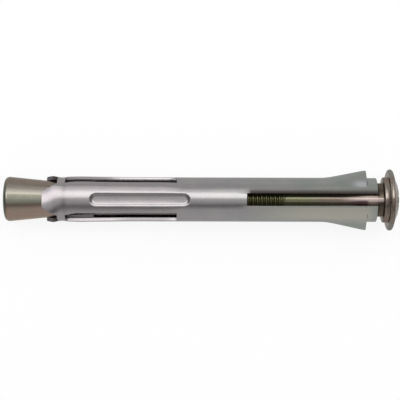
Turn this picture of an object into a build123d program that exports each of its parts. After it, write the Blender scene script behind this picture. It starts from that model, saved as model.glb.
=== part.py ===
"""Frame anchor: a metal fixing that holds a window or door frame in masonry.

A sleeve rolled from zinc-plated sheet steel carries a long machine screw. The
screw draws a conical nut into the slit end of the sleeve, whose three legs
spread and grip the wall. Two barbs near the sleeve's mouth hold in the frame.

All sizes are millimetres. The anchor lies on its side, with its head at +X.
The origin is on the surface below it, at the middle of its length and width.
Stations along the anchor are distances from the sleeve's mouth towards the nut,
so everything at the head has a negative station.
"""

import os
from math import asin, atan2, cos, degrees, radians, sin, tan

from build123d import *

os.makedirs("parts", exist_ok=True)

# ---------------------------------------------------------------- sleeve
sleeve_diameter = 10.0
sheet_thickness = 0.8
seam_gap = 0.15

slot_width = 2.8
slot_length = 29.4

lip_station = 2.3
barb_length = 9.0
barb_lean = 10.8
barb_face_angle = 41.0
barb_sink = 0.04
mouth_drop = 0.04
mouth_ease = 0.5

leg_count = 3
leg_root_station = 45.1
slit_width = 2.6
slit_length = 24.9
bridge_length = 1.9
tongue_length = 3.3
tongue_tip_width = 4.0
tongue_corner_radius = 0.6

waist_depth = 0.06
leg_swell = 0.10
leg_swell_distance = 3.0
leg_swell_fade = 5.2
tongue_swell = 0.24
tongue_swell_distance = 1.3
tip_swell = 0.14

groove_start_station = 42.1
groove_length = 22.4
groove_width = 2.85
groove_depth = 0.45
groove_wall_angle = 45.0
groove_root_overlap = 0.15
groove_cutter_height = 1.0

# ---------------------------------------------------------------- screw
thread_diameter = 6.0
screw_length = 80.0
plain_length = 23.35
shank_diameter = 5.3
screw_tip_chamfer = 0.7

neck_diameter = 7.6
neck_length = 5.1
collar_diameter = 10.3
collar_length = 1.05
collar_chamfer = 0.2
collar_gap = 1.35

flange_diameter = 13.9
seat_diameter = 12.9
rim_middle_height = 0.5
rim_top_height = 1.1
rim_top_diameter = 13.0
head_height = 2.3

recess_span = 6.8
recess_width = 1.25
recess_depth = 3.0
recess_taper = 9.0
recess_core_diameter = 2.9

# ---------------------------------------------------------------- conical nut
nut_length = 16.3
nut_large_diameter = 10.26
nut_small_diameter = 7.1
nut_edge_radius = 1.0
nut_lead_in = 0.5
nut_overhang = 8.7
thread_clearance = 0.05

# ---------------------------------------------------------------- worked out
sleeve_radius = sleeve_diameter / 2
bore_radius = sleeve_radius - sheet_thickness
barb_root_station = lip_station + barb_length
bridge_start_station = leg_root_station + slit_length
tongue_root_station = bridge_start_station + bridge_length
sleeve_length = tongue_root_station + tongue_length

seat_station = -(collar_gap + collar_length)
head_top_station = seat_station - head_height
screw_end_station = seat_station + screw_length
thread_start_station = seat_station + plain_length
nut_end_station = sleeve_length + nut_overhang

overall_length = nut_end_station - head_top_station
mouth_x = overall_length / 2 + head_top_station
axis_height = flange_diameter / 2

# Sketch coordinates here are station and radius.
profile_plane = Plane(origin=(mouth_x, 0, axis_height), x_dir=(-1, 0, 0), z_dir=(0, 1, 0))
plan_plane = Plane(origin=(mouth_x, 0, axis_height), x_dir=(-1, 0, 0), z_dir=(0, 0, -1))
anchor_axis = Axis((mouth_x, 0, axis_height), (1, 0, 0))

leg_angles = [index * 360 / leg_count for index in range(leg_count)]
slit_angles = [angle + 180 / leg_count for angle in leg_angles]
seam_angle = 180.0


def section_plane(station):
    """The plane square to the anchor at a station, with its normal towards the nut."""
    return Plane(origin=(mouth_x - station, 0, axis_height), x_dir=(0, -1, 0), z_dir=(-1, 0, 0))


def radial_plane(angle, radius=0.0):
    """The plane that faces outwards at an angle from straight up, at a radius.

    Its sketch coordinates are the station and the distance across.
    """
    outwards = Vector(0, sin(radians(angle)), cos(radians(angle)))
    foot = Vector(mouth_x, 0, axis_height) + outwards * radius
    return Plane(origin=foot, x_dir=(-1, 0, 0), z_dir=outwards)


def width_angle(width):
    """Half the angle that a width in the flat strip covers once the strip is rolled."""
    return degrees(asin(width / 2 / sleeve_radius))


def wedge(station, angle, half_angle):
    """A section, pointed at the anchor's axis, that reaches out beyond the sleeve."""
    reach = 2 * sleeve_radius
    turns = (angle - half_angle, angle + half_angle)
    corners = [(-reach * sin(radians(turn)), reach * cos(radians(turn))) for turn in turns]
    with BuildSketch(section_plane(station)) as section:
        Polygon((0, 0), *corners, align=None)
    return section.sketch


def leg_contour(inset):
    """The sleeve's outline over the legs, from the tip of a tongue to the plain tube."""
    radius = sleeve_radius - inset
    bridge_middle_station = bridge_start_station + bridge_length / 2
    leg_swell_station = bridge_start_station - leg_swell_distance
    return Polyline(
        (sleeve_length, radius + tip_swell),
        (tongue_root_station + tongue_swell_distance, radius + tongue_swell),
        (bridge_middle_station, radius - waist_depth),
        (leg_swell_station, radius + leg_swell),
        (leg_swell_station - leg_swell_fade, radius),
    )


def barb_body(radius):
    """A solid that fills the tube of the given radius on its +Y side and the barb on it.

    Two flat faces run on sideways from the tube. They close in on each other, and a
    leaning cone that touches both of them rounds off the edge between them.
    """
    lean, face = radians(barb_lean), radians(barb_face_angle)
    reach = radius / sin(face)
    cone_length = (reach - radius) / sin(lean)
    half_angle = atan2(sin(face) * sin(lean), 1 - sin(face) * cos(lean))
    turn = lean + half_angle
    touch_slope = (sin(turn) - sin(half_angle) * sin(face)) / cos(turn)
    apex_station = barb_root_station - cone_length * cos(lean)
    touch = [
        (station, reach - touch_slope * (station - apex_station))
        for station in (lip_station, barb_root_station)
    ]
    with BuildPart() as body:
        apex = Vector(mouth_x - apex_station, reach, axis_height)
        with Locations(Plane(apex, z_dir=(-cos(turn), -sin(turn), 0))):
            Cone(
                0,
                2 * cone_length * tan(half_angle),
                2 * cone_length,
                align=(Align.CENTER, Align.CENTER, Align.MIN),
            )
        with BuildSketch(plan_plane):
            Polygon(*touch, (barb_root_station, reach), (lip_station, reach), align=None)
        extrude(amount=radius, both=True, mode=Mode.INTERSECT)

    with BuildPart() as wedge_body:
        with BuildSketch(section_plane(lip_station)):
            corner = (-radius * sin(face), radius * cos(face))
            Polygon((0, 0), corner, (-reach, 0), (corner[0], -corner[1]), align=None)
        extrude(amount=barb_length)
        with BuildSketch(plan_plane):
            Polygon(*touch, (barb_root_station, 0), (lip_station, 0), align=None)
        extrude(amount=radius, both=True, mode=Mode.INTERSECT)
    return body.part + wedge_body.part


def groove_outline(angle, floor_radius, rise):
    """The oval groove's outline at a height above its floor, wider as it rises."""
    spread = 2 * (rise - groove_depth) * tan(radians(groove_wall_angle))
    middle = groove_start_station + groove_length / 2
    with BuildSketch(radial_plane(angle, floor_radius + rise)) as outline:
        with Locations((middle, 0)):
            SlotOverall(groove_length + spread, groove_width + spread)
    return outline.sketch


def filled_sleeve(inset):
    """The uncut sleeve with its barbs as a solid, a distance inside its outer face."""
    radius = sleeve_radius - inset
    with BuildPart() as body:
        with BuildSketch(profile_plane):
            with BuildLine():
                contour = leg_contour(inset)
                Polyline(
                    contour @ 1,
                    (barb_root_station, radius),
                    (barb_root_station - mouth_ease, radius - mouth_drop),
                    (0, radius - mouth_drop),
                    (0, 0),
                    (sleeve_length, 0),
                    contour @ 0,
                )
            make_face()
        revolve(axis=anchor_axis)
        barb = barb_body(radius - mouth_drop - barb_sink)
        add([barb, mirror(barb, about=Plane.XZ)])
    return body.part


# The sheet is what lies between an outer and an inner solid of the same form.
with BuildPart() as sleeve:
    add(filled_sleeve(0))
    add(filled_sleeve(sheet_thickness), mode=Mode.SUBTRACT)

    # Each leg has an oval groove pressed into it, which stands out on the inside.
    for angle in leg_angles:
        ridge_floor = bore_radius - groove_depth
        ridge_height = groove_depth + groove_root_overlap
        loft([groove_outline(angle, ridge_floor, rise) for rise in (0, ridge_height)])
        groove_floor = sleeve_radius - groove_depth
        loft(
            [groove_outline(angle, groove_floor, rise) for rise in (0, groove_cutter_height)],
            mode=Mode.SUBTRACT,
        )

    # Slits part the legs, a bridge joins them again, and each leg ends in a tongue. The
    # strip was cut flat, so the sides of every cut point at the axis.
    slit_half_angle = width_angle(slit_width)
    tongue_gap_half_angle = 180 / leg_count - width_angle(tongue_tip_width)
    for angle in slit_angles:
        extrude(
            wedge(leg_root_station, angle, slit_half_angle),
            amount=slit_length,
            mode=Mode.SUBTRACT,
        )
        loft(
            [
                wedge(tongue_root_station, angle, slit_half_angle),
                wedge(sleeve_length, angle, tongue_gap_half_angle),
            ],
            mode=Mode.SUBTRACT,
        )

    tip_corners = sleeve.edges().filter_by(GeomType.LINE).group_by(Axis.X)[0]
    fillet(tip_corners, radius=tongue_corner_radius)

    # The slot on top runs in from the mouth. The seam of the rolled strip is below.
    extrude(wedge(0, 0, width_angle(slot_width)), amount=slot_length, mode=Mode.SUBTRACT)
    extrude(
        wedge(0, seam_angle, width_angle(seam_gap)),
        amount=leg_root_station,
        mode=Mode.SUBTRACT,
    )

sleeve.part.label = "expansion_sleeve"
export_step(sleeve.part, "parts/expansion_sleeve.step")


with BuildPart() as screw:
    with BuildSketch(profile_plane):
        with BuildLine():
            collar_station = -collar_gap
            neck_end_station = seat_station + neck_length
            neck_step = (neck_diameter - shank_diameter) / 2
            thread_step = (thread_diameter - shank_diameter) / 2
            rim_top = (seat_station - rim_top_height, rim_top_diameter / 2)
            dome_radius = (rim_top[1] ** 2 + (head_height - rim_top_height) ** 2) / (
                2 * (head_height - rim_top_height)
            )
            Polyline(
                (seat_station, seat_diameter / 2),
                (seat_station, collar_diameter / 2),
                (collar_station - collar_chamfer, collar_diameter / 2),
                (collar_station, collar_diameter / 2 - collar_chamfer),
                (collar_station, neck_diameter / 2),
                (neck_end_station, neck_diameter / 2),
                (neck_end_station + neck_step, shank_diameter / 2),
                (thread_start_station, shank_diameter / 2),
                (thread_start_station + thread_step, thread_diameter / 2),
                (screw_end_station - screw_tip_chamfer, thread_diameter / 2),
                (screw_end_station, thread_diameter / 2 - screw_tip_chamfer),
                (screw_end_station, 0),
                (head_top_station, 0),
            )
            RadiusArc((head_top_station, 0), rim_top, dome_radius)
            ThreePointArc(
                rim_top,
                (seat_station - rim_middle_height, flange_diameter / 2),
                (seat_station, seat_diameter / 2),
            )
        make_face()
    revolve(axis=anchor_axis)

    # Cross recess for the driver, in the top of the head.
    with BuildSketch(section_plane(head_top_station)):
        Rectangle(recess_span, recess_width)
        Rectangle(recess_width, recess_span)
        Circle(recess_core_diameter / 2)
    extrude(amount=recess_depth, taper=recess_taper, mode=Mode.SUBTRACT)

screw.part.label = "anchor_screw"
export_step(screw.part, "parts/anchor_screw.step")


with BuildPart() as nut:
    nut_start_station = nut_end_station - nut_length
    nut_bore_radius = thread_diameter / 2 + thread_clearance
    with BuildSketch(profile_plane):
        with BuildLine():
            Polyline(
                (nut_start_station, nut_bore_radius),
                (nut_start_station, nut_small_diameter / 2),
                (nut_end_station, nut_large_diameter / 2),
                (nut_end_station, nut_bore_radius + nut_lead_in),
                (nut_end_station - nut_lead_in, nut_bore_radius),
                close=True,
            )
        make_face()
    revolve(axis=anchor_axis)
    outer_edge = nut.edges().filter_by(GeomType.CIRCLE).sort_by(lambda edge: edge.radius)[-1]
    fillet(outer_edge, radius=nut_edge_radius)

nut.part.label = "cone_nut"
export_step(nut.part, "parts/cone_nut.step")
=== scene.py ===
"""Frame anchor: a slit zinc-plated sleeve, a flange-head screw through it and a cone nut.

Each piece is a surface over two parameters, the station along the anchor and the
angle round its axis. A station is the distance from the sleeve's mouth towards the
nut, so everything at the head has a negative one. Angles run from straight up (+Z)
towards +Y.
"""

from math import asin, atan2, cos, pi, radians, sin, tan

import bmesh
import bpy
import numpy as np
from bpy.props import FloatProperty, FloatVectorProperty, PointerProperty
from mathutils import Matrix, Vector


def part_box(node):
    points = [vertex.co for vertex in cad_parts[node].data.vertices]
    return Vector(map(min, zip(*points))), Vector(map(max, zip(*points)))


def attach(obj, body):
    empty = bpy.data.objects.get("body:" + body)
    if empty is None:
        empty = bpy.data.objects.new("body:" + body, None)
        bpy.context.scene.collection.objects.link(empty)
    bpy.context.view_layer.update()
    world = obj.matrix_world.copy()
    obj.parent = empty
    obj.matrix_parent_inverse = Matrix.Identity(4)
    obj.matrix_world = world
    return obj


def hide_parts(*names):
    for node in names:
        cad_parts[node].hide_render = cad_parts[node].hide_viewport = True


bl_info = {
    "name": "Frame anchor",
    "version": (1, 0, 0),
    "blender": (4, 5, 0),
    "location": "3D View > Sidebar > Anchor",
    "description": "Builds a frame anchor's sleeve, screw and cone nut round its CAD frame",
    "category": "Object",
}

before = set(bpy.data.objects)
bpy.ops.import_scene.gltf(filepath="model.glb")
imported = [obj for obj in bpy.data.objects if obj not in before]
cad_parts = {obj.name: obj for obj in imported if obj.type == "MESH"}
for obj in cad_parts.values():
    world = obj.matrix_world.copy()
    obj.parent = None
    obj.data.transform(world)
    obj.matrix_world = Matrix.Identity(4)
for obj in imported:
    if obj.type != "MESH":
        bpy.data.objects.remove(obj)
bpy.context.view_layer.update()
SLEEVE_LOW, SLEEVE_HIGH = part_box("expansion_sleeve")
SCREW_LOW, SCREW_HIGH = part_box("anchor_screw")
NUT_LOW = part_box("cone_nut")[0]

MM = 0.001
MOUTH_X = SLEEVE_HIGH.x
AXIS_Z = (SCREW_LOW.z + SCREW_HIGH.z) / 2
SLEEVE_LENGTH = SLEEVE_HIGH.x - SLEEVE_LOW.x
HEAD_TOP = MOUTH_X - SCREW_HIGH.x
SCREW_END = MOUTH_X - SCREW_LOW.x
NUT_END = MOUTH_X - NUT_LOW.x
LEG_CENTRES = np.radians([0.0, 120.0, 240.0])
HALF_LEG = radians(60)
SEAM_CENTRE = pi
BACK_TONGUE_CUT = 0.5 * MM
BARB_FADE = 3.0 * MM
# The rise of a mask that is up from the start, and the fall of one that stays up
BEFORE, BEYOND = (-1.0, -0.9), (4.0, 5.0)


# ------------------------------------------------------------------ properties
def length(name, description, default):
    """A length in metres that a user can change."""
    return FloatProperty(
        name=name, description=description, default=default, min=0.0, unit="LENGTH", precision=5
    )


def station(name, description, default):
    """A place along the anchor in metres from the sleeve's mouth, positive towards the nut."""
    return FloatProperty(
        name=name, description=description, default=default, unit="LENGTH", precision=5
    )


def colour(name, description, default):
    """A linear colour that a user can change."""
    return FloatVectorProperty(
        name=name, description=description, default=default, size=3, min=0.0, max=1.0, subtype="COLOR"
    )


def angle(name, description, degrees):
    """An angle that a user can change, with its default in degrees."""
    return FloatProperty(
        name=name, description=description, default=radians(degrees), subtype="ANGLE"
    )


class AnchorSleeveSettings(bpy.types.PropertyGroup):
    """Sizes and colours of the rolled sleeve."""

    diameter: length("Diameter", "Outside diameter of the plain tube", 10.0 * MM)
    sheet: length("Sheet", "Thickness of the sheet steel", 0.8 * MM)
    seam: length("Seam", "Gap where the rolled strip's edges meet", 0.15 * MM)
    slot_width: length("Slot width", "Width of the slot at the mouth", 2.8 * MM)
    slot_length: length("Slot length", "How far the slot runs in from the mouth", 29.4 * MM)
    mouth: station("Mouth", "How far the sheet stops short of the solid's end", 0.2 * MM)
    lip: station("Barb lip", "Where the barbs are cut free of the mouth's ring", 2.45 * MM)
    lip_gap: length("Lip gap", "Width of the cut that frees a barb", 0.04 * MM)
    barb_root: station("Barb root", "Where the barbs begin to lean out", 11.35 * MM)
    barb_lean: angle("Barb lean", "Angle between a barb's edge and the anchor's length", 11.2)
    barb_face: angle("Barb face", "Angle of a barb's flat faces from level", 41)
    front_barb: FloatProperty(
        name="Front barb", description="Lean of the barb at -Y against the other's", default=1.1
    )
    slit_start: station("Slit start", "Where the slits between the legs begin", 45.1 * MM)
    slit_end: station("Slit end", "Where the slits end at the bridges", 70.15 * MM)
    slit_width: length("Slit width", "Width of a slit between two legs", 2.6 * MM)
    slit_turn: angle("Slit turn", "How far the far edge of the slit at +Y lies beyond its place", 5.4)
    tongue_root: station("Tongue root", "Where the tongues beyond the bridges begin", 71.9 * MM)
    tongue_tip_width: length("Tongue tip", "Width of a tongue at its tip", 4.0 * MM)
    tongue_corner: length("Tongue corner", "Rounding of a tongue's corners", 0.6 * MM)
    tongue_twist: angle("Tongue twist", "Twist of the upper tongue about the anchor's length", 10)
    cone_gap: length("Cone gap", "Space between the tongues and the cone", 0.12 * MM)
    groove_start: station("Groove start", "Where the pressed grooves begin", 42.1 * MM)
    groove_length: length("Groove length", "Length of a groove's floor", 22.4 * MM)
    groove_width: length("Groove width", "Width of a groove's floor", 3.05 * MM)
    groove_turn: angle("Groove turn", "Turn of the grooves from the legs' middles", -1.2)
    groove_depth: length("Groove depth", "How deep the grooves are pressed", 0.45 * MM)
    groove_tilt: angle("Groove tilt", "Tilt of a groove's floor across the groove", 1.6)
    groove_hollow: FloatProperty(
        name="Groove hollow",
        description="How much a groove's floor curves across, per metre",
        default=30.0,
    )
    zinc: colour("Zinc", "Bright zinc plating", (0.245, 0.242, 0.244))
    zinc_warm: colour("Warm zinc", "Plating over the legs", (0.265, 0.245, 0.255))
    zinc_cool: colour("Cool zinc", "Plating near the barbs", (0.225, 0.245, 0.228))
    zinc_pale: colour("Pale zinc", "Lighter clouds in the plating", (0.30, 0.285, 0.275))
    # Painted shade: a dark colour along the slot's +Y edge stands in for shade and a dark reflection
    # there.
    painted_slot_shade: colour("Stain", "Dark zinc along the slot's edge at +Y", (0.055, 0.045, 0.042))
    # Painted light: the -Y side near the barbs is painted lighter, with a warmer tint as well.
    warm_painted_light: colour("Warm side", "Paler, warmer plating at -Y near the barbs", (0.335, 0.325, 0.28))
    # Painted highlight: a bright spot on the upper barb near its lip.
    painted_highlight: colour("Rubbed", "Plating rubbed bright near the barb's lip", (0.42, 0.42, 0.44))


class AnchorScrewSettings(bpy.types.PropertyGroup):
    """Sizes and colours of the flange-head screw."""

    thread: length("Thread", "Outside diameter of the thread", 5.94 * MM)
    core: length("Core", "Diameter at the bottom of the thread", 4.78 * MM)
    pitch: length("Pitch", "Advance of the thread in one turn", 1.0 * MM)
    shank: length("Shank", "Diameter of the plain shank", 5.3 * MM)
    thread_start: station("Thread start", "Where the plain shank ends", 20.4 * MM)
    tip_chamfer: length("Tip chamfer", "Chamfer at the end of the thread", 0.7 * MM)
    neck: length("Neck", "Diameter of the neck under the head", 7.6 * MM)
    neck_end: station("Neck end", "Where the neck steps down to the shank", 2.7 * MM)
    neck_taper: length("Neck taper", "Length over which the neck narrows to the shank", 5.0 * MM)
    collar: length("Collar", "Diameter of the collar under the flange", 10.3 * MM)
    collar_face: station("Collar face", "The collar's face towards the sleeve", -1.3 * MM)
    seat: station("Seat", "The flange's face towards the frame", -2.4 * MM)
    seat_diameter: length("Seat diameter", "Diameter of the flange's flat face", 12.9 * MM)
    dome_edge: length("Dome edge", "Diameter where the dome meets the rim", 13.0 * MM)
    rim_height: length("Rim height", "Height of the dome's edge over the seat", 1.1 * MM)
    recess_span: length("Recess span", "Distance across two arms of the recess", 6.8 * MM)
    recess_width: length("Recess width", "Width of an arm of the recess", 1.25 * MM)
    recess_core: length("Recess core", "Diameter of the recess's round middle", 2.9 * MM)
    recess_depth: length("Recess depth", "Depth of the recess in its middle", 3.0 * MM)
    plating: colour("Plating", "Yellow passivated zinc", (0.165, 0.138, 0.113))
    blush: colour("Blush", "Reddish tint of the passivation", (0.165, 0.12, 0.105))
    # Painted highlight: a lighter stripe along the top of the head and of the nut.
    painted_highlight_stripe: colour("Pale side", "Thin plating along one side", (0.27, 0.235, 0.205))
    # Painted highlight: a light pink stripe along the neck's top.
    neck_highlight: colour("Rose", "Pale pink plating along the neck", (0.42, 0.35, 0.33))
    rim_end: colour("Rim end", "Greyer plating at the two sides of the head", (0.175, 0.182, 0.172))
    # Painted shade: the neck is darker in the narrow gap between the collar and the sleeve's mouth.
    shade: colour("Shade", "Dark plating between the collar and the sleeve", (0.085, 0.068, 0.052))
    # Partly painted shade: the lower side of the neck's step is painted darker, with a reddish tint.
    red: colour("Red", "Reddish plating where the neck steps down", (0.075, 0.04, 0.042))
    # A dark olive laid over the thread: full in its grooves, 0.6 on its crests.
    thread_dark_olive: colour("Thread", "Plating in the thread's grooves", (0.1, 0.095, 0.04))
    olive: colour("Olive", "Olive tint of the shank towards the thread", (0.14, 0.14, 0.082))


class AnchorNutSettings(bpy.types.PropertyGroup):
    """Sizes and colours of the cone nut."""

    large: length("Large end", "Diameter that the cone would have at its outer end", 10.26 * MM)
    small: length("Small end", "Diameter at the end inside the sleeve", 6.9 * MM)
    edge: length("Edge", "Rounding of the outer edge", 1.0 * MM)
    inner_end: station("Inner end", "The nut's end inside the sleeve", 67.3 * MM)
    lead_in: length("Lead-in", "Chamfer at the mouth of the thread", 0.5 * MM)
    clearance: length("Clearance", "Space between the nut's thread and the screw's", 0.08 * MM)
    plating: colour("Plating", "Olive passivated zinc", (0.2, 0.195, 0.158))
    # Painted shade: a dark stripe along the nut's top, 0 to 15° round from up, which dims the lamp's
    # highlight there.
    olive: colour("Olive", "Dark olive plating along the top", (0.108, 0.106, 0.082))
    # Painted highlight: a bright arc round the top of the nut's rounded outer edge.
    painted_highlight: colour("Rubbed", "Plating rubbed bright at the outer edge", (0.27, 0.262, 0.235))
    # Painted light: the nut's -Y side is painted lighter, with a reddish tint as well.
    lower_blush_painted_light: colour("Lower blush", "Paler reddish tint at -Y", (0.25, 0.178, 0.147))
    # Painted highlight: a lighter stripe along the nut's top, 13 to 46° round towards +Y.
    painted_highlight_stripe: colour("Pale side", "Thin plating along one side", (0.28, 0.252, 0.22))
    blush: colour("Blush", "Reddish tint of the passivation", (0.185, 0.145, 0.125))
    edge_tint: colour("Edge", "Dark green plating round the outer edge", (0.1, 0.115, 0.095))


class AnchorStageSettings(bpy.types.PropertyGroup):
    """The studio round the anchor."""

    distance: length("Distance", "Height of the camera over the anchor's axis", 0.283)
    lens: FloatProperty(name="Lens", description="Focal length of the camera, mm", default=112.5)
    roll: angle("Roll", "Turn of the camera about its view", 0.165)
    floor: colour("Floor", "Colour of the floor", (0.9, 0.9, 0.9))


# ------------------------------------------------------------------ geometry
def place(stations, radii, angles):
    """Points in the frame: back from the mouth by the station, and out from the axis."""
    x = MOUTH_X - stations + 0 * (radii + angles)
    y = radii * np.sin(angles) + 0 * x
    z = AXIS_Z + radii * np.cos(angles) + 0 * x
    return np.stack([x, y, z], axis=-1)


def steps(breaks, largest):
    """Rising values that hold every break, evenly spaced between two breaks.

    largest holds the widest gap allowed between each break and the next.
    """
    out = [np.array([breaks[0]])]
    for start, stop, gap in zip(breaks, breaks[1:], largest):
        count = max(1, int(np.ceil((stop - start) / gap - 1e-9)))
        out.append(np.linspace(start, stop, count + 1)[1:])
    return np.concatenate(out)


def smooth(share):
    """0 below 0, 1 above 1, and an even S between them: 3 s squared less 2 s cubed."""
    share = np.clip(share, 0, 1)
    return share * share * (3 - 2 * share)


def rising(values, start, run):
    """0 up to the start, 1 from a run beyond it, and an even S between them."""
    return smooth((values - start) / run)


def falling(values, end, run):
    """1 up to a run before the end, 0 from the end on, and an even S between them."""
    return smooth((end - values) / run)


def eased(values, places, heights):
    """A smooth curve through (place, height) pairs that is level at each of them."""
    index = np.clip(np.searchsorted(places, values) - 1, 0, len(places) - 2)
    share = smooth((values - places[index]) / (places[index + 1] - places[index]))
    return heights[index] + share * (heights[index + 1] - heights[index])


def turned_from(angles, centre):
    """Signed angle from a centre, between -pi and pi."""
    return (angles - centre + pi) % (2 * pi) - pi


def grid_faces(rows, columns):
    """Quads of a grid of vertices whose last column joins its first, by row and column."""
    row, column = np.meshgrid(np.arange(rows - 1), np.arange(columns), indexing="ij")
    beside = (column + 1) % columns
    corner = row * columns
    return np.stack(
        [corner + column, corner + beside, corner + columns + beside, corner + columns + column],
        axis=-1,
    )


def add_object(name, surface, material, body, replaced):
    """A finished smooth piece from its points and faces, riding on a body in place of a solid."""
    points, faces = surface
    used, corners = np.unique(faces, return_inverse=True)
    mesh = bpy.data.meshes.new(name)
    mesh.from_pydata(points.reshape(-1, 3)[used].tolist(), [], corners.reshape(-1, 4).tolist())
    mesh.validate()
    piece = bpy.data.objects.new(name, mesh)
    bpy.context.scene.collection.objects.link(piece)
    weld(mesh)
    mesh.shade_smooth()
    mesh.materials.append(material)
    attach(piece, body)
    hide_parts(replaced)
    return piece


def weld(mesh):
    """Merges vertices that share a place, which closes the surface where it meets the axis."""
    work = bmesh.new()
    work.from_mesh(mesh)
    bmesh.ops.remove_doubles(work, verts=work.verts, dist=1e-7)
    work.to_mesh(mesh)
    work.free()


# ------------------------------------------------------------------ sleeve
def half_angle(width, sleeve):
    """Half of the angle that a width takes up on the outside of the tube."""
    return asin(width / sleeve.diameter)


def leg_contour(stations):
    """How far the sleeve's outline stands out over its legs, level at each turn of the curve."""
    places = np.array([0.0, 55.5, 61.5, 67.0, 69.4, 71.3, 73.2, 75.2]) * MM
    heights = np.array([0.0, 0.0, 0.08, 0.15, 0.10, -0.15, -0.04, -0.06]) * MM
    return eased(stations, places, heights)


def barb_rise(stations, angles, sleeve):
    """How far a barb's side stands out: level, then a straight lean, then rounded at the lip.

    With the run from the root, the rise is the lean's slope times half of the run plus
    the root of (run squared plus softness squared). The rounding is a parabola.
    """
    softness = 0.9 * MM
    rounded_from, roundness = 3.4 * MM, 100.0
    run = sleeve.barb_root - stations
    rise = tan(sleeve.barb_lean) * 0.5 * (run + np.sqrt(run**2 + softness**2))
    rounding = np.clip(rounded_from - stations, 0, None) ** 2 * roundness
    fade = np.clip((sleeve.barb_root + BARB_FADE - stations) / BARB_FADE, 0, 1)
    further = np.where(np.sin(angles) < 0, sleeve.front_barb, 1.0)
    return (rise * fade * further - rounding) * (stations > sleeve.lip)


def barb_section(radius, rise, angles, sleeve):
    """Radius of the sleeve where its side stands out by a rise.

    The section is a circle, flat faces that leave it at the barb's face angle, and a nose
    between them. The nose is a smaller circle that touches both faces and the barb's edge:
    its radius is radius - rise * k with k = sin(face) / (1 - sin(face)).
    """
    smallest_nose, steepest = 0.5 * MM, radians(80)
    face = sleeve.barb_face
    narrowing = sin(face) / (1 - sin(face))
    nose = np.maximum(radius - rise * narrowing, smallest_nose)
    centre = radius + rise - nose
    side = np.abs(np.abs(turned_from(angles, 0)) - pi / 2)
    from_level = pi / 2 - side
    flat = radius / np.cos(np.clip(from_level - face, 0, steepest))
    touch = np.arctan2(centre + nose * sin(face), nose * cos(face))
    under_root = np.maximum(nose**2 - centre**2 * np.sin(side) ** 2, 0)
    round_nose = centre * np.cos(side) + np.sqrt(under_root)
    return np.where(from_level > touch, round_nose, flat)


def mouth_drop(stations):
    """How far the tube's radius falls from the barbs to its mouth."""
    return 0.02 * MM * falling(stations, 11.3 * MM, 1.5 * MM)


def slot_flat(stations, angles, sleeve):
    """Beside the slot the rolled sheet is straight, so it stands out from the circle a little.

    The radius there is the circle's over the cosine of the angle inside the flat's start.
    """
    start, widest = radians(29), radians(15)
    turn = np.abs(turned_from(angles, 0))
    radius = sleeve.diameter / 2
    flat = radius / np.cos(np.clip(start - turn, 0, widest)) - radius
    return flat * falling(stations, sleeve.slot_length + 0.7 * MM, 0.9 * MM)


def tongue_flat(stations, angles, sleeve):
    """The tongues are flatter across than the tube, and the upper one is twisted a little.

    The radius grows with the square of the angle from a leg's middle. The whole upper leg
    is a little flatter, and on its tongue the radius also falls in step with the angle.
    """
    tongue_rise, leg_rise, widest = 0.75 * MM, 0.42 * MM, 0.62
    bend_start, bend_run = 71.0 * MM, 4.2 * MM
    turn = np.min([np.abs(turned_from(angles, centre)) for centre in LEG_CENTRES], axis=0)
    upper = turned_from(angles, 0)
    on_upper = falling(np.abs(upper), radians(75), radians(30))
    rise = tongue_rise * rising(stations, sleeve.slit_end - 0.3 * MM, 3.6 * MM)
    rise = rise + leg_rise * on_upper * rising(stations, 43.5 * MM, 4 * MM)
    twist = on_upper * upper * sleeve.tongue_twist * sleeve.diameter / 2
    return rise * np.minimum(turn, widest) ** 2 - rising(stations, bend_start, bend_run) * twist


def groove_drop(stations, angles, sleeve):
    """How deep the pressed grooves lie: a floor inside an oval, with S-shaped walls.

    The distance inside the oval's edge, over the wall's width, gives the share of the
    floor's depth. The floor's depth is that of a flat laid across the groove, less a
    curve by the square of the distance across, plus a tilt in step with it.
    """
    wall, wall_outside = 0.85 * MM, 0.15 * MM
    radius = sleeve.diameter / 2
    middle = sleeve.groove_start + sleeve.groove_length / 2
    straight = (sleeve.groove_length - sleeve.groove_width) / 2
    drop = np.zeros(np.broadcast(stations, angles).shape)
    for centre in LEG_CENTRES:
        turn = turned_from(angles, centre + sleeve.groove_turn)
        near = np.abs(turn) < radians(45)
        across = radius * np.sin(turn)
        beyond = np.clip(np.abs(stations - middle) - straight, 0, None)
        inside = sleeve.groove_width / 2 - np.hypot(beyond, across)
        floor = radius - (radius - sleeve.groove_depth) / np.cos(np.where(near, turn, 0))
        floor = floor - sleeve.groove_hollow * across**2 + tan(sleeve.groove_tilt) * across
        depth = rising(inside, -wall_outside, wall) * np.maximum(floor, 0)
        drop = np.where(near, np.maximum(drop, depth), drop)
    return drop


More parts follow.
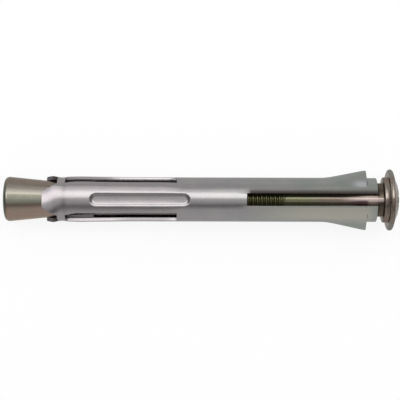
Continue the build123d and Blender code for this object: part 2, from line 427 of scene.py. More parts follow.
def sleeve_grid(sleeve):
    """Rows and columns that fall on every cut, finer where the wall is pressed or bent."""
    margin, run_in = 0.6 * MM, 2.1 * MM
    groove_end = sleeve.groove_start + sleeve.groove_length
    rows = steps(
        [
            sleeve.mouth,
            sleeve.lip - sleeve.lip_gap / 2,
            sleeve.lip + sleeve.lip_gap / 2,
            sleeve.barb_root + BARB_FADE,
            sleeve.slot_length,
            sleeve.groove_start - margin,
            sleeve.groove_start + run_in,
            sleeve.slit_start,
            groove_end - run_in,
            groove_end + margin,
            sleeve.slit_end,
            sleeve.tongue_root,
            SLEEVE_LENGTH,
        ],
        np.array([0.4, 0.2, 0.4, 1.2, 1.2, 0.14, 0.5, 1.2, 0.14, 0.35, 0.25, 0.22]) * MM,
    )
    slot, slit, seam = (
        half_angle(width, sleeve) for width in (sleeve.slot_width, sleeve.slit_width, sleeve.seam)
    )
    face, back_leg, pressed_half = sleeve.barb_face, LEG_CENTRES[1], radians(27)
    pressed_from, pressed_to = back_leg - pressed_half, back_leg + pressed_half
    breaks = [0.0, slot, face, HALF_LEG - slit, HALF_LEG + slit, pressed_from, pressed_to]
    breaks = sorted(breaks + [pi - face, pi - slit, pi - seam])
    fine, coarse = radians(1.1), radians(2.4)
    gaps = [
        fine if stop <= face or (start >= pressed_from and stop <= pressed_to) else coarse
        for start, stop in zip(breaks, breaks[1:])
    ]
    half = steps(breaks, gaps)
    columns = np.concatenate([half, 2 * pi - half[:0:-1]])
    return rows, columns


def sleeve_metal(rows, columns, sleeve):
    """True for each cell of the grid that is metal: the slot, seam, slits and cuts are False."""
    station_at = ((rows[:-1] + rows[1:]) / 2)[:, None]
    after = np.append(columns[1:], columns[0] + 2 * pi)
    turn_at = ((columns + after) / 2)[None, :]

    def within(width, centre):
        return np.abs(turned_from(turn_at, centre)) < half_angle(width, sleeve)

    slot = within(sleeve.slot_width, 0) & (station_at < sleeve.slot_length)
    seam = within(sleeve.seam, SEAM_CENTRE) & (station_at < sleeve.slit_start)
    side = np.abs(np.abs(turned_from(turn_at, 0)) - pi / 2)
    lance = (np.abs(station_at - sleeve.lip) < sleeve.lip_gap / 2) & (side < pi / 2 - sleeve.barb_face)
    open_along = (station_at > sleeve.slit_start) & (station_at < sleeve.slit_end)
    open_along |= station_at > sleeve.tongue_root
    metal = ~(slot | seam | lance)
    for centre in LEG_CENTRES + HALF_LEG:
        metal &= ~(within(sleeve.slit_width, centre) & open_along)
    return metal


def tongue_warp(stations, angles, sleeve):
    """Narrows each tongue towards its tip and rounds the tip's corners.

    Angles are drawn in towards the leg's middle in step with the distance from the
    root. Stations are drawn back near the corners by a quarter circle's height.
    """
    radius = sleeve.diameter / 2
    root_half = HALF_LEG - half_angle(sleeve.slit_width, sleeve)
    tip_half = half_angle(sleeve.tongue_tip_width, sleeve)
    share = np.clip((stations - sleeve.tongue_root) / (SLEEVE_LENGTH - sleeve.tongue_root), 0, 1)
    narrowed = angles + 0 * stations
    for centre in LEG_CENTRES:
        turn = turned_from(angles, centre)
        inside = np.abs(turn) <= root_half + 1e-6
        factor = 1 - share * (1 - tip_half / root_half)
        narrowed = np.where(inside, angles + turn * (factor - 1), narrowed)
        across = np.abs(turn) / root_half * tip_half * radius
        past = np.clip(across - (tip_half * radius - sleeve.tongue_corner), 0, sleeve.tongue_corner)
        back = sleeve.tongue_corner - np.sqrt(sleeve.tongue_corner**2 - past**2)
        shorter = 0.0 if centre == 0 else BACK_TONGUE_CUT
        stations = np.where(inside, stations - share * (back + shorter), stations)
    return stations, narrowed


def sheared_cut(stations, angles, sleeve):
    """Turn and thinning of the inner surface beside the upper slits, whose far walls slant.

    Both are greatest at the wall and fade out round the tube in an even S. Towards the
    bridges they fall to half.
    """
    slant, fade = radians(2.0), radians(9)
    wall = HALF_LEG + half_angle(sleeve.slit_width, sleeve)
    along = 0.5 + 0.5 * falling(stations, 63.5 * MM, 8 * MM)
    along = along * (stations > sleeve.slit_start) * (stations < sleeve.slit_end)
    turn = np.zeros(np.broadcast(stations, angles).shape)
    thinning = turn
    for side, thinner in ((1, 0.32 * MM), (-1, 0.08 * MM)):
        past = side * turned_from(angles, side * wall)
        beside = np.where(past > -1e-6, falling(past, fade, fade), 0) * along
        turn = turn - side * slant * beside
        thinning = thinning + thinner * beside
    return turn, thinning


def uneven_slits(stations, angles, sleeve):
    """Turns the edges of the two upper slits out of their even places.

    Each edge moves by its own share of the slit's turn, what lies between follows in
    step, and the turn eases in and out in an even S along the slits.
    """
    ease = 4 * MM
    wall = np.degrees(half_angle(sleeve.slit_width, sleeve))
    places = [-180, -60 - wall, -60 + wall, -22, 22, 60 - wall, 60 + wall, 110, 180]
    shares = [0.0, 0.2, 1.6, 0.0, 0.0, 0.55, 1.0, 0.0, 0.0]
    share = np.interp(np.degrees(turned_from(angles, 0)), places, shares)
    along = rising(stations, 41 * MM, ease) * falling(stations, 71 * MM, ease)
    return sleeve.slit_turn * share * along


def cone_radius(stations, nut):
    """Radius of the cone, which grows evenly from the nut's inner end to its outer one."""
    share = (stations - nut.inner_end) / (NUT_END - nut.inner_end)
    return (nut.small + share * (nut.large - nut.small)) / 2


def sleeve_shell(sleeve, nut):
    """Outer and inner surface of the sheet, joined by walls round every cut.

    The outer radius is the tube's, plus the legs' contour and the barbs' lean, minus
    the grooves. The inner surface lies one sheet thickness further in, and stays a
    clearance outside the cone.
    """
    rows, columns = sleeve_grid(sleeve)
    stations, angles = tongue_warp(rows[:, None], columns[None, :], sleeve)
    slant, thinning = sheared_cut(stations, angles, sleeve)
    angles = angles + uneven_slits(stations, angles, sleeve)
    radius = sleeve.diameter / 2 + leg_contour(stations) - mouth_drop(stations)
    radius = barb_section(radius, barb_rise(stations, angles, sleeve), angles, sleeve)
    radius = radius + slot_flat(stations, angles, sleeve) + tongue_flat(stations, angles, sleeve)
    radius = radius - groove_drop(stations, angles, sleeve)
    clear = cone_radius(stations, nut) + sleeve.cone_gap
    inner_radius = np.maximum(radius - sleeve.sheet + thinning, clear)
    outer = place(stations, radius, angles)
    inner = place(stations, inner_radius, angles + slant)

    metal = sleeve_metal(rows, columns, sleeve)
    cells = grid_faces(len(rows), len(columns))
    count = len(rows) * len(columns)
    faces = [cells[metal], cells[metal][:, ::-1] + count]
    padded = np.pad(metal, ((1, 1), (0, 0)))
    edges = (
        (metal & ~padded[:-2], 0, 1),
        (metal & ~np.roll(metal, -1, axis=1), 1, 2),
        (metal & ~padded[2:], 2, 3),
        (metal & ~np.roll(metal, 1, axis=1), 3, 0),
    )
    for open_side, start, stop in edges:
        one, other = cells[open_side][:, start], cells[open_side][:, stop]
        faces.append(np.stack([other, one, one + count, other + count], axis=-1))
    return np.concatenate([outer.reshape(-1, 3), inner.reshape(-1, 3)]), np.concatenate(faces)


# ------------------------------------------------------------------ screw and nut
def thread_wave(stations, angles, pitch):
    """1 on the thread's crest and 0 at its root: a right-hand wave with rounded flanks."""
    phase = (stations / pitch - angles / (2 * pi)) * 2 * pi
    return smooth(0.5 + 0.5 * np.cos(phase))


def arc(centre, radius, start, stop, count):
    """Profile points (station, radius) on an arc, with its angles measured from outwards."""
    turn = np.linspace(start, stop, count)
    return np.stack([centre[0] + radius * np.sin(turn), centre[1] + radius * np.cos(turn)], axis=-1)


def level(stations, radius):
    """Profile points (station, radius) at one radius."""
    return np.stack([stations, np.full(len(stations), radius)], axis=-1)


def recess_outline(angles, screw):
    """Distance from the axis to the cross recess's edge: flat ends, straight sides, round core."""
    turn = np.abs((angles + pi / 4) % (pi / 2) - pi / 4)
    side = (screw.recess_width / 2) / np.maximum(np.sin(turn), 1e-6)
    core = screw.recess_core / 2
    return np.minimum(screw.recess_span / 2 / np.cos(turn), np.maximum(side, core))


def dome_station(radii, screw):
    """Station of the head's dome: a shallow sphere, fuller round the recess and flat on top."""
    edge = screw.dome_edge / 2
    height = (screw.seat - screw.rim_height) - HEAD_TOP
    sphere = (edge**2 + height**2) / (2 * height)
    fuller = 0.35 * MM * falling(radii, 4.7 * MM, 1.6 * MM)
    return np.maximum(HEAD_TOP, HEAD_TOP + sphere - np.sqrt(sphere**2 - radii**2) - fuller)


def screw_columns(screw):
    """Angles round the screw that fall on the recess's corners, the same in every quarter."""
    arm = atan2(screw.recess_width, screw.recess_span)
    corner = asin(screw.recess_width / screw.recess_core)
    eighth = steps([0, arm, corner, pi / 4], np.radians([6, 5, 5]))
    quarter = np.concatenate([eighth, pi / 2 - eighth[-2:0:-1]])
    return np.concatenate([quarter + turn * pi / 2 for turn in range(4)])


def head_rows(angles, screw):
    """Stations and radii from the middle of the recess's floor to the edge of the dome.

    A row inside the recess is a share of its cross-shaped edge, sunk by a share of its
    depth that is smaller out in the arms. A row on the dome lies a share of the way from
    that edge to the rim's circle.
    """
    outline = recess_outline(angles, screw)
    wall = 0.86
    share = np.array([0.0, 0.3, 0.6, 0.8, wall, 0.93, 0.98, 1.0])[:, None]
    depth = np.array([1.0, 0.86, 0.72, 0.62, 0.45, 0.2, 0.03, 0.0])[:, None] * screw.recess_depth
    shallow = 1 - 0.55 * np.clip(outline / (screw.recess_span / 2), 0, 1) * (share / wall).clip(0, 1)
    inside = share * outline
    outwards = np.array([0.04, 0.15, 0.35, 0.6, 0.8, 0.95])[:, None]
    outside = outline + (screw.dome_edge / 2 - outline) * outwards
    stations = [dome_station(inside, screw) + depth * shallow, dome_station(outside, screw)]
    return np.concatenate(stations), np.concatenate([inside, outside])


def screw_profile(screw):
    """Profile points (station, radius) from the dome's edge to the last row of the thread."""
    neck, shank, collar = screw.neck / 2, screw.shank / 2, screw.collar / 2
    fillet, neck_curve = 0.25 * MM, 1.5 * MM
    neck_stop = screw.neck_end - 0.3 * MM
    shank_start = screw.neck_end + screw.neck_taper
    shank_rows = np.linspace(shank_start + MM, screw.thread_start - 0.2 * MM, 12)
    thread_rows = np.arange(screw.thread_start, SCREW_END - 0.02 * MM, screw.pitch / 12)
    return np.concatenate(
        [
            arc(*rim_arc(screw), 15),
            [[screw.seat, collar + 0.1 * MM], [screw.seat, collar]],
            arc((screw.collar_face - fillet, collar - fillet), fillet, 0, pi / 2, 6),
            [[screw.collar_face, neck + 0.15 * MM], [screw.collar_face + 0.15 * MM, neck]],
            [[neck_stop, neck]],
            arc((neck_stop, neck - neck_curve), neck_curve, 0.05, 0.24, 5),
            [[shank_start, shank]],
            level(shank_rows, shank),
            level(thread_rows, screw.thread / 2),
        ]
    )


def screw_surface(screw):
    """The whole screw from the bottom of its recess over the head and along to its end.

    All rows past the dome are circles, save that the threaded ones swing between crest
    and core in step with the thread's wave.
    """
    angles = screw_columns(screw)[None, :]
    profile = screw_profile(screw)
    stations, radii = profile[:, :1] + 0 * angles, profile[:, 1:] + 0 * angles
    shank, crest = screw.shank / 2, screw.thread / 2
    run_out = np.clip((stations - screw.thread_start) / (1.6 * screw.pitch), 0, 1)
    cut = shank + (screw.core / 2 - shank) * run_out
    crown = shank + (crest - shank) * run_out
    threaded = cut + (crown - cut) * thread_wave(stations, angles, screw.pitch)
    chamfer = crest - np.clip(stations - (SCREW_END - screw.tip_chamfer), 0, None)
    radii = np.where(stations >= screw.thread_start, np.minimum(threaded, chamfer), radii)
    tip = np.array([crest - screw.tip_chamfer, crest * 0.4, 0.0])[:, None] + 0 * angles
    head_stations, head_radii = head_rows(angles, screw)
    stations = np.concatenate([head_stations, stations, SCREW_END + 0 * tip])
    points = place(stations, np.concatenate([head_radii, radii, tip]), angles)
    return points, grid_faces(*points.shape[:2])[:, :, ::-1]


def rim_arc(screw):
    """Centre, radius and end angles of the rim's arc.

    The circle goes through three points: the dome's edge, the widest place and the seat.
    """
    middle_height, inside_box = 0.5 * MM, 0.012 * MM
    low = np.array([screw.seat, screw.seat_diameter / 2])
    high = np.array([screw.seat - screw.rim_height, screw.dome_edge / 2])
    widest = (SCREW_HIGH.z - SCREW_LOW.z) / 2 - inside_box
    middle = np.array([screw.seat - middle_height, widest])
    rows = 2 * np.array([middle - low, high - low])
    centre = np.linalg.solve(rows, [middle @ middle - low @ low, high @ high - low @ low])
    radius = float(np.hypot(*(low - centre)))
    start = atan2(high[0] - centre[0], high[1] - centre[1])
    stop = atan2(low[0] - centre[0], low[1] - centre[1])
    return centre, radius, start, stop


def nut_surface(nut, screw):
    """The cone nut as one closed profile turned about the axis, with its thread cut inside.

    The threaded rows swing between bore and core in step with the screw's thread, and
    the thread fades out over one pitch at both ends.
    """
    start, end, small, edge, soft = nut.inner_end, NUT_END, nut.small / 2, nut.edge, 0.15 * MM
    lean = atan2((nut.large - nut.small) / 2, end - start)
    edge_station = end - edge
    edge_radius = cone_radius(edge_station, nut) - edge / cos(lean)
    bore, core = screw.thread / 2 + nut.clearance, screw.core / 2 + nut.clearance
    thread_rows = np.arange(end - nut.lead_in, start, -screw.pitch / 10)
    cone = np.linspace(start + 0.2 * MM, edge_station - edge * sin(lean) - 0.5 * MM, 16)
    profile = np.concatenate(
        [
            [[start, bore], [start, small - soft], [start + 0.05 * MM, small]],
            np.stack([cone, cone_radius(cone, nut)], axis=-1),
            arc((edge_station, edge_radius), edge, -lean, pi / 2, 14),
            [[end, edge_radius - 0.3 * MM], [end, bore + nut.lead_in]],
            level(thread_rows, bore),
            [[start, bore]],
        ]
    )
    angles = np.linspace(0, 2 * pi, 96, endpoint=False)[None, :]
    stations, radii = profile[:, :1] + 0 * angles, profile[:, 1:] + 0 * angles
    wave = thread_wave(stations, angles, screw.pitch)
    ease = np.clip(np.minimum(stations - start, end - nut.lead_in - stations) / screw.pitch, 0, 1)
    inside = slice(-len(thread_rows) - 1, -1)
    radii[inside] = (bore + (core - bore) * (1 - wave) * ease)[inside]
    points = place(stations, radii, angles)
    return points, grid_faces(*points.shape[:2])


# ------------------------------------------------------------------ materials
def node(tree, kind, inputs=None, **settings):
    """A shader node with its settings, and its inputs set to values or linked from sockets."""
    made = tree.nodes.new(kind)
    for key, value in settings.items():
        setattr(made, key, value)
    for key, value in (inputs or {}).items():
        if isinstance(value, bpy.types.NodeSocket):
            tree.links.new(value, made.inputs[key])
        else:
            made.inputs[key].default_value = value
    return made


def rgba(values):
    """A colour with its alpha."""
    return (*values, 1.0)


def calculate(tree, operation, *values):
    """The result of a Math node."""
    made = node(tree, "ShaderNodeMath", dict(enumerate(values)), operation=operation)
    return made.outputs["Value"]


def vector(tree, operation, inputs):
    """The result of a Vector Math node."""
    return node(tree, "ShaderNodeVectorMath", inputs, operation=operation).outputs["Vector"]


def spread(tree, value, low, high, at_low=0.0, at_high=1.0, **settings):
    """A value's place between low and high, spread over the results for these two."""
    ends = {"From Min": low, "From Max": high, "To Min": at_low, "To Max": at_high}
    return node(tree, "ShaderNodeMapRange", {"Value": value, **ends}, **settings).outputs["Result"]


def both(tree, one, other):
    """The product of two masks."""
    return calculate(tree, "MULTIPLY", one, other)


def band(tree, value, rise_from, rise_to, fall_from, fall_to):
    """A mask that rises from 0 to 1 and falls back as a value passes four places."""
    up = spread(tree, value, rise_from, rise_to, interpolation_type="SMOOTHSTEP")
    down = spread(tree, value, fall_from, fall_to, 1.0, 0.0, interpolation_type="SMOOTHSTEP")
    return both(tree, up, down)


def turn_band(tree, around, *degrees):
    """A band mask round the axis, with its four places in degrees from straight up."""
    return band(tree, around["Turn"], *np.radians(degrees))


def mixed(tree, share, first, second):
    """A colour between two by a share. Each is a socket or a colour with its alpha."""
    made = node(tree, "ShaderNodeMix", {"Factor": share, "A": first, "B": second}, data_type="RGBA")
    return next(socket for socket in made.outputs if socket.type == "RGBA" and socket.enabled)


def noise(tree, coords, size, detail, roughness):
    """The value of a Noise Texture."""
    inputs = {"Vector": coords, "Scale": size, "Detail": detail, "Roughness": roughness}
    return node(tree, "ShaderNodeTexNoise", inputs).outputs["Fac"]


def ramp(tree, share, stops):
    """A colour ramp through (place, colour) stops."""
    made = node(tree, "ShaderNodeValToRGB", {"Fac": share})
    elements = made.color_ramp.elements
    for element, (at, tint) in zip(elements, (stops[0], stops[-1])):
        element.position, element.color = at, tint
    for at, tint in stops[1:-1]:
        elements.new(at).color = tint
    return made.outputs["Color"]


def placed(tree, name, build, inputs=None):
    """A shader node group placed in a material, and built when it is first asked for."""
    group = bpy.data.node_groups.get(name) or build()
    return node(tree, "ShaderNodeGroup", inputs, node_tree=group).outputs


def plating_group():
    """Plated metal's cloudy colour, fine marks along the anchor, roughness and height.

    Two noises are mixed: broad clouds that drift between the two colours, and streaks
    stretched along the anchor that lighten, darken and roughen it.
    """
    group = bpy.data.node_groups.new("plating", "ShaderNodeTree")
    new = group.interface.new_socket
    for name in ("Colour", "Second colour"):
        new(name, in_out="INPUT", socket_type="NodeSocketColor")
    for name, value in (
        ("Cloud size", 300.0),
        ("Cloud amount", 1.0),
        ("Streak size", 2500.0),
        ("Streak stretch", 0.08),
        ("Streak amount", 0.15),
        ("Roughness", 0.3),
        ("Roughness change", 0.1),
    ):
        new(name, in_out="INPUT", socket_type="NodeSocketFloat").default_value = value
    new("Colour", in_out="OUTPUT", socket_type="NodeSocketColor")
    for name in ("Roughness", "Height"):
        new(name, in_out="OUTPUT", socket_type="NodeSocketFloat")
    given = group.nodes.new("NodeGroupInput").outputs
    coords = node(group, "ShaderNodeTexCoord").outputs["Object"]

    clouds = spread(group, noise(group, coords, given["Cloud size"], 3.0, 0.55), 0.35, 0.65)
    share = both(group, clouds, given["Cloud amount"])
    tint = mixed(group, share, given["Colour"], given["Second colour"])

    stretch = node(group, "ShaderNodeCombineXYZ", {"X": given["Streak stretch"], "Y": 1.0, "Z": 1.0})
    along = vector(group, "MULTIPLY", {0: coords, 1: stretch.outputs["Vector"]})
    streaks = noise(group, along, given["Streak size"], 4.0, 0.6)
    centred = calculate(group, "SUBTRACT", streaks, 0.5)
    light = calculate(group, "ADD", both(group, centred, given["Streak amount"]), 1.0)
    shaded = vector(group, "SCALE", {0: tint, "Scale": light})
    rough = calculate(group, "MULTIPLY_ADD", centred, given["Roughness change"], given["Roughness"])
    out = group.nodes.new("NodeGroupOutput").inputs
    group.links.new(shaded, out["Colour"])
    group.links.new(rough, out["Roughness"])
    group.links.new(streaks, out["Height"])
    return group


def round_axis_group():
    """Where a point lies round the anchor's axis: its turn from up, its distance and its station."""
    group = bpy.data.node_groups.new("round_axis", "ShaderNodeTree")
    for name in ("Turn", "Distance", "Along"):
        group.interface.new_socket(name, in_out="OUTPUT", socket_type="NodeSocketFloat")
    coords = node(group, "ShaderNodeTexCoord").outputs["Object"]
    centred = vector(group, "SUBTRACT", {0: coords, 1: (0.0, 0.0, AXIS_Z)})
    parts = node(group, "ShaderNodeSeparateXYZ", {"Vector": centred}).outputs
    across = node(group, "ShaderNodeCombineXYZ", {"Y": parts["Y"], "Z": parts["Z"]})
    across = node(group, "ShaderNodeVectorMath", {0: across.outputs["Vector"]}, operation="LENGTH")
    out = group.nodes.new("NodeGroupOutput").inputs
    group.links.new(calculate(group, "ARCTAN2", parts["Y"], parts["Z"]), out["Turn"])
    group.links.new(across.outputs["Value"], out["Distance"])
    group.links.new(calculate(group, "SUBTRACT", MOUTH_X, parts["X"]), out["Along"])
    return group


def spot(tree, around, degrees, stations):
    """A mask over a spot: four places round the axis in degrees, and four along it."""
    return both(tree, turn_band(tree, around, *degrees), band(tree, around["Along"], *stations))


def layered(tree, tint, layers):
    """A colour with further ones laid over it in turn, each where its mask is 1."""
    for mask, over in layers:
        tint = mixed(tree, mask, tint, rgba(over))
    return tint


def finish_metal(tree, tint, plating, bump, edge_tint, metallic=1.0):
    """The metal shader and its output, fed by the plating group's outputs."""
    height = {"Strength": bump, "Distance": 0.02 * MM, "Height": plating["Height"]}
    shader = node(
        tree,
        "ShaderNodeBsdfPrincipled",
        {
            "Base Color": tint,
            "Metallic": metallic,
            "Roughness": plating["Roughness"],
            "Normal": node(tree, "ShaderNodeBump", height).outputs["Normal"],
            "Specular Tint": rgba(edge_tint),
        },
    )
    node(tree, "ShaderNodeOutputMaterial", {"Surface": shader.outputs["BSDF"]})


def new_material(name):
    """An empty node material."""
    material = bpy.data.materials.new(name)
    material.use_nodes = True
    material.node_tree.nodes.clear()
    return material, material.node_tree


def zinc_sheet(sleeve):
    """Bright zinc on rolled sheet: warmer over the legs, cooler near the barbs, with soft streaks.
    Painted light on it: a lighter side at -Y near the barbs, a highlight spot near the upper barb's
    lip and shade along the slot's +Y edge.
    """
    material, tree = new_material("zinc_sheet")
    coords = node(tree, "ShaderNodeTexCoord").outputs["Object"]
    x = node(tree, "ShaderNodeSeparateXYZ", {"Vector": coords}).outputs["X"]
    tints = ((0.35, sleeve.zinc_warm), (0.6, sleeve.zinc), (0.85, sleeve.zinc_cool))
    stops = [(at, rgba(tint)) for at, tint in tints]
    plating = placed(
        tree,
        "plating",
        plating_group,
        {
            "Colour": ramp(tree, spread(tree, x, SLEEVE_LOW.x, SLEEVE_HIGH.x), stops),
            "Second colour": rgba(sleeve.zinc_pale),
            "Cloud size": 230.0,
            "Cloud amount": 0.45,
            "Streak size": 1500.0,
            "Streak stretch": 0.06,
            "Streak amount": 0.18,
            "Roughness": 0.26,
            "Roughness change": 0.1,
        },
    )
    around = placed(tree, "round_axis", round_axis_group)
    # Painted light: a lighter, warmer patch at -Y from the mouth past the barbs.
    warm_painted_light = spot(tree, around, (-75, -50, -24, -15), (0.0, 3 * MM, 14 * MM, 32 * MM))
    # Painted highlight on the upper barb, just behind its lip.
    painted_highlight = spot(tree, around, (30, 42, 46, 62), (2.3 * MM, 3.2 * MM, 3.8 * MM, 6.5 * MM))
    # Painted shade along the slot's edge at +Y, from the mouth to the slot's end.
    edge, end = half_angle(sleeve.slot_width, sleeve), sleeve.slot_length
    slot_shade_mask = both(
        tree,
        band(tree, around["Turn"], edge - 0.1, edge - 0.02, edge, edge + 0.32),
        band(tree, around["Along"], *BEFORE, end - MM, end),
    )
    layers = ((warm_painted_light, sleeve.warm_painted_light), (painted_highlight, sleeve.painted_highlight), (slot_shade_mask, sleeve.painted_slot_shade))
    tint = layered(tree, plating["Colour"], layers)
    finish_metal(tree, tint, plating, 0.25, (0.75, 0.75, 0.75))
    return material


def nut_plating(nut):
    """Olive zinc, reddish on its flanks and dark green round the outer edge. Painted light on it: a
    highlight stripe along the top with a painted shade stripe beside it, a lighter lower side and a
    highlight at the outer edge.
    """
    material, tree = new_material("yellow_zinc_nut")
    around = placed(tree, "round_axis", round_axis_group)
    along, flank = around["Along"], calculate(tree, "ABSOLUTE", around["Turn"])
    reddish = band(tree, flank, *np.radians((20, 42, 100, 140)))
    at_edge = band(tree, along, NUT_END - 0.8 * MM, NUT_END - 0.4 * MM, *BEYOND)
    shoulder = [NUT_END - at * MM for at in (1.05, 0.9, 0.8, 0.65)]
    layers = (
        (reddish, nut.blush),
        # Painted shade stripe along the top.
        (turn_band(tree, around, 0, 6, 10, 15), nut.olive),
        # Painted highlight stripe along the top.
        (turn_band(tree, around, 13, 19, 34, 46), nut.painted_highlight_stripe),
        # Painted light: lighter and reddish on the -Y side.
        (turn_band(tree, around, -130, -90, -20, -8), nut.lower_blush_painted_light),
        (at_edge, nut.edge_tint),
        # Painted highlight on the rounded outer edge, -16 to 34° round from up.
        (spot(tree, around, (-16, 0, 16, 34), shoulder), nut.painted_highlight),
    )
    plating = placed(
        tree,
        "plating",
        plating_group,
        {
            "Colour": layered(tree, rgba(nut.plating), layers),
            "Second colour": rgba(nut.plating),
            "Cloud size": 420.0,
            "Cloud amount": 0.35,
            "Streak size": 1800.0,
            "Streak stretch": 0.15,
            "Streak amount": 0.25,
            "Roughness": 0.28,
            "Roughness change": 0.12,
        },
    )
    finish_metal(tree, plating["Colour"], plating, 0.25, (0.8, 0.78, 0.72))
    return material


def screw_plating(screw):
    """Yellow zinc: painted highlight stripes on head and neck, painted shade in the gap under the
    collar, a dark olive thread, and a reddish step that is partly painted shade.
    """
    material, tree = new_material("yellow_zinc_screw")
    around = placed(tree, "round_axis", round_axis_group)
    along, distance = around["Along"], around["Distance"]
    plating = placed(
        tree,
        "plating",
        plating_group,
        {
            "Colour": rgba(screw.plating),
            "Second colour": rgba(screw.blush),
            "Cloud size": 420.0,
            "Cloud amount": 0.8,
            "Streak size": 1800.0,
            "Streak stretch": 0.15,
            "Streak amount": 0.15,
            "Roughness": 0.19,
            "Roughness change": 0.08,
        },
    )
    face, thread = screw.collar_face, screw.thread_start
    # Painted highlight along the head's top, -4 to 48° round from up.
    head_highlight_mask = spot(tree, around, (-4, 12, 24, 48), (*BEFORE, -0.5 * MM, 0.0))
    rim_side = both(
        tree,
        band(tree, calculate(tree, "ABSOLUTE", around["Turn"]), radians(40), radians(62), *BEYOND),
        band(tree, distance, 5.3 * MM, 5.8 * MM, *BEYOND),
    )
    # Painted shade in the gap from the collar's face to just inside the mouth.
    gap = band(tree, along, face - 0.1 * MM, face, 0.0, 0.4 * MM)
    # Painted highlight along the neck, -9 to 9° round from up.
    neck_highlight_mask = spot(tree, around, (-9, -3, 3, 9), (face, face + 0.1 * MM, 4 * MM, 9 * MM))
    towards_thread = band(tree, along, 9 * MM, 18 * MM, *BEYOND)
    # Painted shade with a reddish tint: darker on the lower side where the neck steps down.
    step = spot(tree, around, (-60, -40, -8, 2), (1.9 * MM, 2.7 * MM, 3.6 * MM, 8.0 * MM))
    # Dark olive over the thread, full at the core and 0.6 at the crests.
    in_thread = both(
        tree,
        spread(tree, distance, screw.core / 2, screw.thread / 2, 1.0, 0.6),
        band(tree, along, thread, thread + 2 * MM, *BEYOND),
    )
    layers = (
        (head_highlight_mask, screw.painted_highlight_stripe),
        (rim_side, screw.rim_end),
        (gap, screw.shade),
        (neck_highlight_mask, screw.neck_highlight),
        (towards_thread, screw.olive),
        (step, screw.red),
        (in_thread, screw.thread_dark_olive),
    )
    tint = layered(tree, plating["Colour"], layers)
    finish_metal(tree, tint, plating, 0.15, (0.45, 0.4, 0.36), 0.72)
    return material


def floor_material(floor):
    """A pale floor that the camera and reflections see as white, with the anchor's soft shadow."""
    material, tree = new_material("studio_floor")
    whiteness = 0.88
    path = node(tree, "ShaderNodeLightPath").outputs
    seen = calculate(tree, "MAXIMUM", path["Is Camera Ray"], path["Is Glossy Ray"])
    seen = calculate(tree, "MAXIMUM", seen, path["Is Transmission Ray"])
    share = calculate(tree, "MULTIPLY", seen, whiteness)
    matt = node(tree, "ShaderNodeBsdfDiffuse", {"Color": rgba(floor)}).outputs["BSDF"]
    white = node(tree, "ShaderNodeEmission", {"Color": rgba((1, 1, 1)), "Strength": 1.0})
    blend = node(tree, "ShaderNodeMixShader", {0: share, 1: matt, 2: white.outputs["Emission"]})
    node(tree, "ShaderNodeOutputMaterial", {"Surface": blend.outputs["Shader"]})
    return material


# ------------------------------------------------------------------ operators
class ANCHOR_OT_sleeve(bpy.types.Operator):
    """Build the rolled sleeve with its slot, barbs, slits, legs and tongues"""

    bl_idname = "anchor.sleeve"
    bl_label = "Build sleeve"

    def execute(self, context):
        sleeve, nut = context.scene.anchor_sleeve, context.scene.anchor_nut
        surface, zinc = sleeve_shell(sleeve, nut), zinc_sheet(sleeve)
        piece = add_object(
            "sleeve_sheet", surface, zinc, "sleeve", "expansion_sleeve"
        )
        bevel = piece.modifiers.new("edge", "BEVEL")
        bevel.width = 0.06 * MM
        bevel.segments = 2
        bevel.limit_method = "ANGLE"
        bevel.angle_limit = radians(50)
        bevel.use_clamp_overlap = False
        bevel.harden_normals = True
        return {"FINISHED"}


class ANCHOR_OT_screw(bpy.types.Operator):
    """Build the flange-head screw with its cross recess, neck, shank and thread"""

    bl_idname = "anchor.screw"
    bl_label = "Build screw"

    def execute(self, context):
        screw = context.scene.anchor_screw
        surface, zinc = screw_surface(screw), screw_plating(screw)
        add_object("flange_screw", surface, zinc, "screw", "anchor_screw")
        return {"FINISHED"}


class ANCHOR_OT_nut(bpy.types.Operator):
    """Build the cone nut with its rounded edge and its thread"""

    bl_idname = "anchor.nut"
    bl_label = "Build cone nut"

    def execute(self, context):
        nut, screw = context.scene.anchor_nut, context.scene.anchor_screw
        surface, zinc = nut_surface(nut, screw), nut_plating(nut)
        add_object("spreading_cone", surface, zinc, "nut", "cone_nut")
        return {"FINISHED"}


class ANCHOR_OT_stage(bpy.types.Operator):
    """Set up the floor, the soft lights, the world and the camera above the anchor"""

    bl_idname = "anchor.stage"
    bl_label = "Set up studio"

    def execute(self, context):
        stage = context.scene.anchor_stage
        build_floor(stage)
        build_lights()
        build_world()
        build_camera(context.scene, stage)
        context.scene.view_settings.view_transform = "Standard"
        return {"FINISHED"}


def build_floor(stage):
    """A plane that touches the flange's rim and the cone's rim, so it slopes a little."""
    head_x, nut_x, reach = SCREW_HIGH.x - 2.5 * MM, NUT_LOW.x + 1.0 * MM, 2.0
    slope = (SCREW_LOW.z - NUT_LOW.z) / (head_x - nut_x)
    corners = [
        (x, y, SCREW_LOW.z + slope * (x - head_x))
        for x, y in ((-reach, -reach), (reach, -reach), (reach, reach), (-reach, reach))
    ]
    mesh = bpy.data.meshes.new("studio_floor")
    mesh.from_pydata(corners, [], [(0, 1, 2, 3)])
    mesh.materials.append(floor_material(stage.floor))
    floor = bpy.data.objects.new("studio_floor", mesh)
    bpy.context.scene.collection.objects.link(floor)


def add_lamp(name, place_at, target, size, size_y, power):
    """A soft rectangular lamp that faces its target."""
    lamp = bpy.data.lights.new(name, "AREA")
    lamp.shape = "RECTANGLE"
    lamp.size, lamp.size_y, lamp.energy = size, size_y, power
    holder = bpy.data.objects.new(name, lamp)
    holder.location = place_at
    facing = Vector(target) - Vector(place_at)
    holder.rotation_euler = facing.to_track_quat("-Z", "Y").to_euler()
    bpy.context.scene.collection.objects.link(holder)


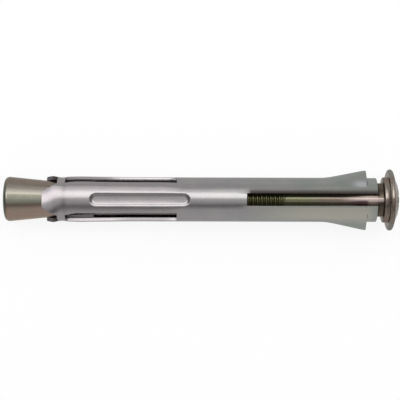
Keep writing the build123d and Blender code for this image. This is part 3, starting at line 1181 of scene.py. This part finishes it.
def build_lights():
    """One long strip above the anchor, towards its upper side, and a weaker one beside it."""
    height, length_along = 0.4, 0.7
    for name, lean, width, power in (("strip_lamp", 21, 0.19, 1.02), ("side_lamp", 43, 0.16, 0.29)):
        turn = radians(lean)
        at = (0.0, height * sin(turn), AXIS_Z + height * cos(turn))
        add_lamp(name, at, (0.0, 0.0, AXIS_Z), length_along, width, power)


def build_world():
    """Soft surroundings whose brightness changes with the direction round the anchor's length.

    Towards the anchor's two ends they are dimmer.
    """
    world = bpy.data.worlds.new("studio")
    bpy.context.scene.world = world
    world.use_nodes = True
    tree = world.node_tree
    tree.nodes.clear()
    direction = node(tree, "ShaderNodeTexCoord").outputs["Generated"]
    parts = node(tree, "ShaderNodeSeparateXYZ", {"Vector": direction}).outputs
    turn = calculate(tree, "ARCTAN2", parts["Y"], parts["Z"])
    levels = ((0.0, 1.0), (0.2, 0.95), (0.27, 0.55), (0.31, 0.2), (0.35, 0.35))
    levels += ((0.42, 0.95), (0.8, 0.85), (1.0, 0.9))
    stops = [(at, rgba((light, light, light))) for at, light in levels]
    tint = ramp(tree, spread(tree, turn, -pi / 2, pi / 2), stops)
    dimmer = spread(tree, calculate(tree, "ABSOLUTE", parts["X"]), 0.25, 0.65, 1.0, 0.45)
    background = node(tree, "ShaderNodeBackground", {"Color": tint, "Strength": dimmer})
    node(tree, "ShaderNodeOutputWorld", {"Surface": background.outputs["Background"]})


def build_camera(scene, stage):
    """A camera straight above the anchor, with the head to the right."""
    aim_x, aim_y = -0.3 * MM, -0.12 * MM
    camera = bpy.data.cameras.new("camera")
    camera.lens = stage.lens
    camera.sensor_width = 36.0
    holder = bpy.data.objects.new("camera", camera)
    holder.location = (aim_x, aim_y, AXIS_Z + stage.distance)
    holder.rotation_euler = (0.0, 0.0, stage.roll)
    scene.collection.objects.link(holder)
    scene.camera = holder


class ANCHOR_PT_panel(bpy.types.Panel):
    """Sizes, colours and steps of the frame anchor"""

    bl_idname = "ANCHOR_PT_panel"
    bl_label = "Frame anchor"
    bl_space_type = "VIEW_3D"
    bl_region_type = "UI"
    bl_category = "Anchor"

    def draw(self, context):
        for step, settings in (
            ("anchor.sleeve", "anchor_sleeve"),
            ("anchor.screw", "anchor_screw"),
            ("anchor.nut", "anchor_nut"),
            ("anchor.stage", "anchor_stage"),
        ):
            box = self.layout.box()
            group = getattr(context.scene, settings)
            for key in group.__annotations__:
                box.prop(group, key)
            box.operator(step)


GROUPS = {
    "anchor_sleeve": AnchorSleeveSettings,
    "anchor_screw": AnchorScrewSettings,
    "anchor_nut": AnchorNutSettings,
    "anchor_stage": AnchorStageSettings,
}
CLASSES = (
    *GROUPS.values(),
    ANCHOR_OT_sleeve,
    ANCHOR_OT_screw,
    ANCHOR_OT_nut,
    ANCHOR_OT_stage,
    ANCHOR_PT_panel,
)


def register():
    """Registers the settings, operators and panel."""
    for item in CLASSES:
        bpy.utils.register_class(item)
    for name, group in GROUPS.items():
        setattr(bpy.types.Scene, name, PointerProperty(type=group))


def unregister():
    """Takes away what register added."""
    for name in GROUPS:
        delattr(bpy.types.Scene, name)
    for item in reversed(CLASSES):
        bpy.utils.unregister_class(item)


def main():
    """Builds every piece and the studio."""
    register()
    bpy.ops.anchor.sleeve()
    bpy.ops.anchor.screw()
    bpy.ops.anchor.nut()
    bpy.ops.anchor.stage()


if __name__ == "__main__":
    main()
